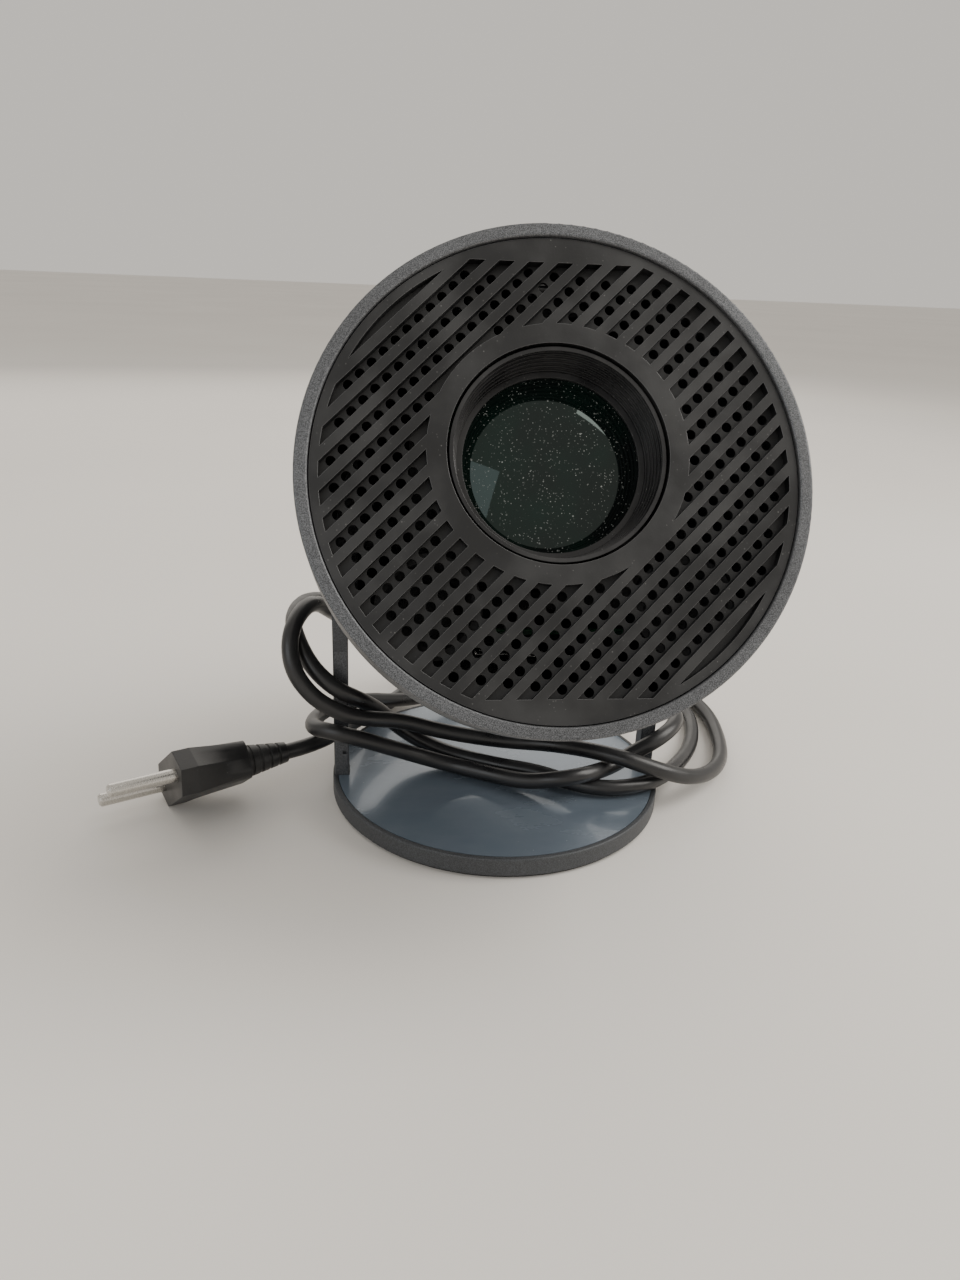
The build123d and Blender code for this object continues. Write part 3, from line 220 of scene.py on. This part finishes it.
def coated_glass():
    """The front lens: dark coated glass with a painted green sheen towards its edge, and dust on it."""
    material, nodes, links, shader = new_material("coated_glass")
    # Painted sheen: the base colour turns paler and greener where the surface turns away from view.
    facing = nodes.new("ShaderNodeLayerWeight")
    facing.inputs["Blend"].default_value = 0.35
    sheen = ramp(nodes, links, facing.outputs["Facing"], 0.15, 0.85, (0.004, 0.005, 0.005), (0.010, 0.014, 0.016))
    patches = ramp(nodes, links, noise(nodes, links, 55, 2), 0.45, 0.62, (0, 0, 0), (1, 1, 1))
    # Random green patches, laid over the painted sheen.
    tint_over_painted_sheen = mix(nodes, links, patches, sheen, (0.003, 0.009, 0.007))
    cloud = ramp(nodes, links, noise(nodes, links, 240, 9, 0.8), 0.44, 0.72, (0, 0, 0), (0.8, 0.8, 0.8))
    motes = specks(nodes, links, 1500, 0.24)
    big = mix(nodes, links, 1.0, specks(nodes, links, 500, 0.13), cloud, "MULTIPLY")
    dust = mix(nodes, links, 1.0, motes, cloud, "MULTIPLY")
    dust = mix(nodes, links, 1.0, dust, big, "ADD")
    links.new(mix(nodes, links, dust, tint_over_painted_sheen, (0.62, 0.62, 0.60)), shader.inputs["Base Color"])
    links.new(ramp(nodes, links, dust, 0.0, 0.5, (0.03, 0.03, 0.03), (0.6, 0.6, 0.6)), shader.inputs["Roughness"])
    shader.inputs["IOR"].default_value = 1.38
    shader.inputs["Coat Weight"].default_value = 0.25
    shader.inputs["Coat Roughness"].default_value = 0.02
    shader.inputs["Coat Tint"].default_value = (0.80, 0.94, 0.90, 1)
    shader.inputs["Specular Tint"].default_value = (0.72, 0.95, 0.88, 1)
    return material


def clear_plastic(name, colour):
    """Clear moulded optics inside the head."""
    material, nodes, links, shader = new_material(name)
    ripple = noise(nodes, links, 300, 3)
    links.new(ramp(nodes, links, ripple, 0.3, 0.7, colour, tuple(min(1, c * 1.1) for c in colour)),
              shader.inputs["Base Color"])
    links.new(spread(nodes, links, ripple, 0.04, 0.12), shader.inputs["Roughness"])
    shader.inputs["Transmission Weight"].default_value = 0.85
    shader.inputs["IOR"].default_value = 1.49
    return material


def circuit_board():
    """Green solder mask with paler copper lines under it."""
    material, nodes, links, shader = new_material("circuit_board")
    place = nodes.new("ShaderNodeTexCoord")
    tracks = nodes.new("ShaderNodeTexBrick")
    tracks.inputs["Scale"].default_value = 260
    tracks.inputs["Color1"].default_value = (0.012, 0.12, 0.05, 1)
    tracks.inputs["Color2"].default_value = (0.016, 0.15, 0.065, 1)
    tracks.inputs["Mortar"].default_value = (0.05, 0.27, 0.11, 1)
    links.new(place.outputs["Object"], tracks.inputs["Vector"])
    links.new(tracks.outputs["Color"], shader.inputs["Base Color"])
    links.new(spread(nodes, links, noise(nodes, links, 200, 3), 0.25, 0.4), shader.inputs["Roughness"])
    bump(nodes, links, shader, tracks.outputs["Fac"], 0.00003, 0.4)
    return material


def cord_rubber():
    """Black lead covering, satin, with faint drawn lines."""
    material, nodes, links, shader = new_material("cord_rubber")
    fine = noise(nodes, links, 1500, 3)
    broad = noise(nodes, links, 90, 4)
    links.new(ramp(nodes, links, broad, 0.3, 0.7, (0.010, 0.010, 0.011), (0.022, 0.022, 0.023)),
              shader.inputs["Base Color"])
    links.new(spread(nodes, links, broad, 0.26, 0.42), shader.inputs["Roughness"])
    bump(nodes, links, shader, fine, 0.00003, 0.25)
    return material


RIM = speckled("rim_speckle", (0.050, 0.052, 0.056), (0.19, 0.195, 0.205), 0.42, 0.5)
SHELL = speckled("shell_speckle", (0.055, 0.057, 0.061), (0.19, 0.195, 0.205), 0.46, 0.45)
STAND = speckled("stand_paint", (0.050, 0.053, 0.058), (0.115, 0.12, 0.13), 0.42, 0.35, 3800)
DISC_SIDE = speckled("disc_side_paint", (0.045, 0.048, 0.052), (0.085, 0.09, 0.097), 0.55, 0.25, 3000)
GRILLE = grille_plastic()
PLATE = plastic("perforated_black", (0.0075, 0.0076, 0.008), 0.55, dust=0.2)
INNER = plastic("inner_black", (0.008, 0.008, 0.009), 0.34)
BARREL = plastic("barrel_black", (0.010, 0.010, 0.011), 0.30, dust=0.6, edge=0.0002)
KNOB = plastic("knob_grey", (0.045, 0.047, 0.051), 0.4, 1500)
STRIP = plastic("strip_gloss", (0.012, 0.012, 0.013), 0.16, 600, 0.00001, coat=0.6)
PLUG = plastic("plug_black", (0.010, 0.010, 0.011), 0.38, 1300, 0.00006, dust=0.25, edge=0.0004)
FOOT = plastic("foot_rubber", (0.012, 0.012, 0.012), 0.7, 900, 0.0001)
CHIP = plastic("chip_black", (0.015, 0.015, 0.016), 0.45)
CONE = plastic("speaker_cone", (0.02, 0.02, 0.021), 0.75, 700, 0.0002)
STEEL = metal("bare_steel", (0.55, 0.55, 0.57), 0.3)
DARK_STEEL = metal("dark_steel", (0.16, 0.16, 0.17), 0.38)
IRON = metal("weight_iron", (0.17, 0.165, 0.16), 0.62, grain=500)
FINS = metal("fin_aluminium", (0.72, 0.73, 0.75), 0.34, (1, 1, 9))
PIN = metal("pin_nickel", (0.68, 0.66, 0.62), 0.22, (6, 1, 1))
SOCKET = metal("socket_chrome", (0.62, 0.62, 0.64), 0.2)
PANEL = plastic("panel_glass", (0.02, 0.022, 0.03), 0.1, 300, 0.00001, coat=1.0)
WINDOW = plastic("window_red", (0.035, 0.003, 0.005), 0.12, 300, 0.00001, coat=1.0)
BOARD = circuit_board()
CORD = cord_rubber()
FRESNEL = clear_plastic("fresnel_clear", (0.8, 0.84, 0.86))
REAR_GLASS = clear_plastic("rear_glass", (0.62, 0.74, 0.76))

NODE_MATERIALS = {
    "base_disc": DISC_SIDE, "top_plate": mirror_plate(), "base_weight": IRON, "foot_pad": FOOT,
    "arm_screws": STEEL, "left_arm": STAND, "right_arm": STAND,
    "left_pivot_bolt": STEEL, "right_pivot_bolt": STEEL,
    "left_pivot_cap": STAND, "right_pivot_cap": STAND,
    "left_friction_washer": INNER, "right_friction_washer": INNER,
    "plug_body": PLUG, "plug_pins": PIN, "plug_relief": PLUG, "cord_connector": PLUG,
    "main_shell": SHELL, "front_ring": RIM, "front_grille": GRILLE, "perforated_plate": PLATE,
    "rear_cover": SHELL, "cover_screws": DARK_STEEL, "ac_inlet": INNER, "inlet_pins": PIN,
    "hdmi_port": SOCKET, "usb_port": SOCKET, "av_jack": INNER, "ir_window": WINDOW,
    "lens_sleeve": INNER, "focus_bracket": INNER, "button_strip": STRIP, "button_board": BOARD,
    "light_engine": INNER, "lcd_panel": PANEL, "front_fresnel_lens": FRESNEL,
    "rear_fresnel_lens": FRESNEL, "led_module": BOARD, "heatsink": FINS, "fan_frame": INNER,
    "mainboard": BOARD, "board_chips": CHIP, "power_board": BOARD,
    "left_speaker": CONE, "right_speaker": CONE,
    "lens_barrel": BARREL, "front_lens": coated_glass(), "rear_lens": REAR_GLASS,
    "lens_retainer": BARREL, "lens_spacer": INNER, "focus_rack": INNER,
    "focus_wheel": KNOB, "fan_rotor": INNER,
    "power_button": KNOB, "volume_down_button": KNOB, "volume_up_button": KNOB, "menu_button": KNOB,
}
for node_name, node_material in NODE_MATERIALS.items():
    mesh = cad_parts[node_name].data
    mesh.materials.clear()
    mesh.materials.append(node_material)

# ------------------------------------------------------------------ mains lead
# The lead's route from the connector to the plug, in millimetres, as in the CAD.
LEAD_ROUTE = (
    # out of the connector, round the left arm
    (-8, 64, 4.2), (-20, 57.5, 4.2), (-31, 47.5, 8), (-41, 37, 13.5), (-50.5, 25, 17.5),
    (-56.8, 11.5, 20), (-58.2, -2, 22.5),
    # first pass in front
    (-50.8, -8, 24), (-42, -7.3, 20.8), (-33, -6, 17), (-18, -2.5, 10), (-3.5, -9, 9.2),
    (7, -16, 10), (16.2, -21.5, 13.8), (25.5, -20.2, 14.6), (35, -11, 11.8),
    (43, -8, 15.2), (51, -7.9, 20), (58.8, 0, 21.2), (61.8, 11.5, 20),
    # first pass behind
    (62, 24, 19), (54, 45, 17), (36, 60, 16), (12, 68, 17), (-12, 66, 23), (-33, 58.5, 34),
    (-47, 49, 44), (-56.4, 38, 50.7), (-61.6, 22, 54.9), (-63.6, 7, 54.5),
    # second pass in front
    (-60.5, -2.5, 49.5), (-56.3, -6.3, 43.5), (-49.8, -8.3, 38), (-42.7, -3.8, 32.5),
    (-37, 4, 25.3), (-30, 6, 17.5), (-21, 4, 12.4), (-9.8, 1.5, 9.2), (1, -4.1, 9.2),
    (12, -8.3, 9.2), (21, -15.5, 9.2), (31, -19.8, 9.2), (41, -18.9, 9.2), (50, -14.5, 9.2),
    (59.4, -2.7, 7.2), (69, 13, 4), (76, 29, 2.8),
    # second pass behind
    (79.5, 46, 2.8), (74, 64, 2.8), (57, 81, 2.8), (34, 91, 3.2), (9, 92, 5),
    (-16, 82, 12.5), (-35, 64, 24), (-44.5, 44, 38), (-51, 26, 49.5), (-57.5, 9.5, 60.3),
    # third pass in front
    (-63, -4.5, 56.7), (-63, -10.8, 47), (-57.3, -11.6, 37.6), (-49, -10, 31.2), (-41, -8, 28.2),
    (-31, -1, 24.2), (-17, 3, 17.9), (2, 3.5, 14), (19, -0.5, 14.6), (33, -15.6, 19),
    (46, -19.5, 15.8), (59.2, -15.2, 9.6), (70, -6.2, 6), (78.5, 6.5, 4),
    # third pass behind, then across the table to the plug
    (84, 24, 2.8), (87, 44, 2.8), (83, 66, 2.8), (70, 86, 2.8), (48, 99, 2.8), (21, 103, 2.8),
    (-5, 95, 2.8), (-19, 79, 2.8), (-28.5, 63, 2.8), (-36.5, 48, 4), (-42.5, 34, 8),
    (-48.5, 20.5, 10.8), (-57.4, 6.6, 12), (-66.4, 2.1, 12),
)
LEAD_DIAMETER = 0.005


def lead_spline():
    """The lead as one smooth NURBS curve."""
    data = bpy.data.curves.new("mains_lead", "CURVE")
    data.dimensions = "3D"
    spline = data.splines.new("NURBS")
    spline.points.add(len(LEAD_ROUTE) - 1)
    for point, place in zip(spline.points, LEAD_ROUTE):
        point.co = (*(value * MM for value in place), 1)
    spline.order_u = 3
    spline.use_endpoint_u = True
    spline.resolution_u = 8
    data.bevel_depth = LEAD_DIAMETER / 2
    data.bevel_resolution = 5
    data.use_fill_caps = True
    data.materials.append(CORD)
    lead = bpy.data.objects.new("mains_lead", data)
    bpy.context.scene.collection.objects.link(lead)
    return lead


mains_lead = lead_spline()
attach(mains_lead, "stand")
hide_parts("power_cord")

# ------------------------------------------------------------------ stage, light and camera
def floor():
    """A wide pale surface under the stand."""
    mesh = bpy.data.meshes.new("floor")
    form = bmesh.new()
    bmesh.ops.create_grid(form, x_segments=2, y_segments=2, size=6.0)
    form.to_mesh(mesh)
    form.free()
    material, nodes, links, shader = new_material("floor_paint")
    grain = noise(nodes, links, 700, 4)
    links.new(ramp(nodes, links, noise(nodes, links, 3, 2), 0.3, 0.7, (0.72, 0.69, 0.65), (0.76, 0.73, 0.69)),
              shader.inputs["Base Color"])
    shader.inputs["Roughness"].default_value = 0.62
    bump(nodes, links, shader, grain, 0.0001, 0.15)
    mesh.materials.append(material)
    surface = bpy.data.objects.new("floor", mesh)
    bpy.context.scene.collection.objects.link(surface)
    return surface


def softbox(name, place, aim, size, power, colour):
    """A soft area light that points at a place."""
    light = bpy.data.lights.new(name, "AREA")
    light.shape = "RECTANGLE"
    light.size, light.size_y = size
    light.energy = power
    light.color = colour
    lamp = bpy.data.objects.new(name, light)
    lamp.location = place
    lamp.rotation_mode = "QUATERNION"
    lamp.rotation_quaternion = (Vector(aim) - Vector(place)).to_track_quat("-Z", "Y")
    bpy.context.scene.collection.objects.link(lamp)


def pale_world():
    """An even pale surround."""
    world = bpy.data.worlds.new("surround")
    world.use_nodes = True
    background = world.node_tree.nodes["Background"]
    background.inputs["Color"].default_value = (0.84, 0.80, 0.74, 1)
    background.inputs["Strength"].default_value = 0.85
    bpy.context.scene.world = world


floor()
pale_world()
HEAD_PLACE = (0, -0.03, 0.09)
softbox("window_light", (0.75, -0.15, 0.75), HEAD_PLACE, (0.7, 0.9), 11.0, (1.0, 0.97, 0.92))
softbox("room_fill", (-0.7, -0.8, 0.55), HEAD_PLACE, (0.9, 0.7), 2.6, (0.86, 0.93, 1.0))
softbox("wall_bounce", (-0.2, 0.9, 0.6), HEAD_PLACE, (1.6, 0.9), 4.5, (1.0, 0.95, 0.88))

# The camera looks down at the front from a little to the left, slightly rolled.
CAMERA_PLACE = (-0.0412, -0.2689, 0.1576)
CAMERA_PITCH = math.radians(21.56)
CAMERA_HEADING = math.radians(7.33)
CAMERA_ROLL = math.radians(2.53)
CAMERA_LENS = 26.9


def camera():
    """The camera, placed by its pitch below level, heading from +Y towards +X, and roll."""
    data = bpy.data.cameras.new("camera")
    data.lens = CAMERA_LENS
    data.sensor_width = 36.0
    data.clip_start = 0.01
    data.clip_end = 50.0
    ahead = Vector((math.sin(CAMERA_HEADING), math.cos(CAMERA_HEADING), 0))
    level = Vector((math.cos(CAMERA_HEADING), -math.sin(CAMERA_HEADING), 0))
    forward = ahead * math.cos(CAMERA_PITCH) - Vector((0, 0, math.sin(CAMERA_PITCH)))
    above = level.cross(forward)
    right = level * math.cos(CAMERA_ROLL) + above * math.sin(CAMERA_ROLL)
    up = right.cross(forward)
    holder = bpy.data.objects.new("camera", data)
    turn = Matrix((right, up, -forward)).transposed().to_4x4()
    holder.matrix_world = Matrix.Translation(CAMERA_PLACE) @ turn
    bpy.context.scene.collection.objects.link(holder)
    bpy.context.scene.camera = holder


camera()
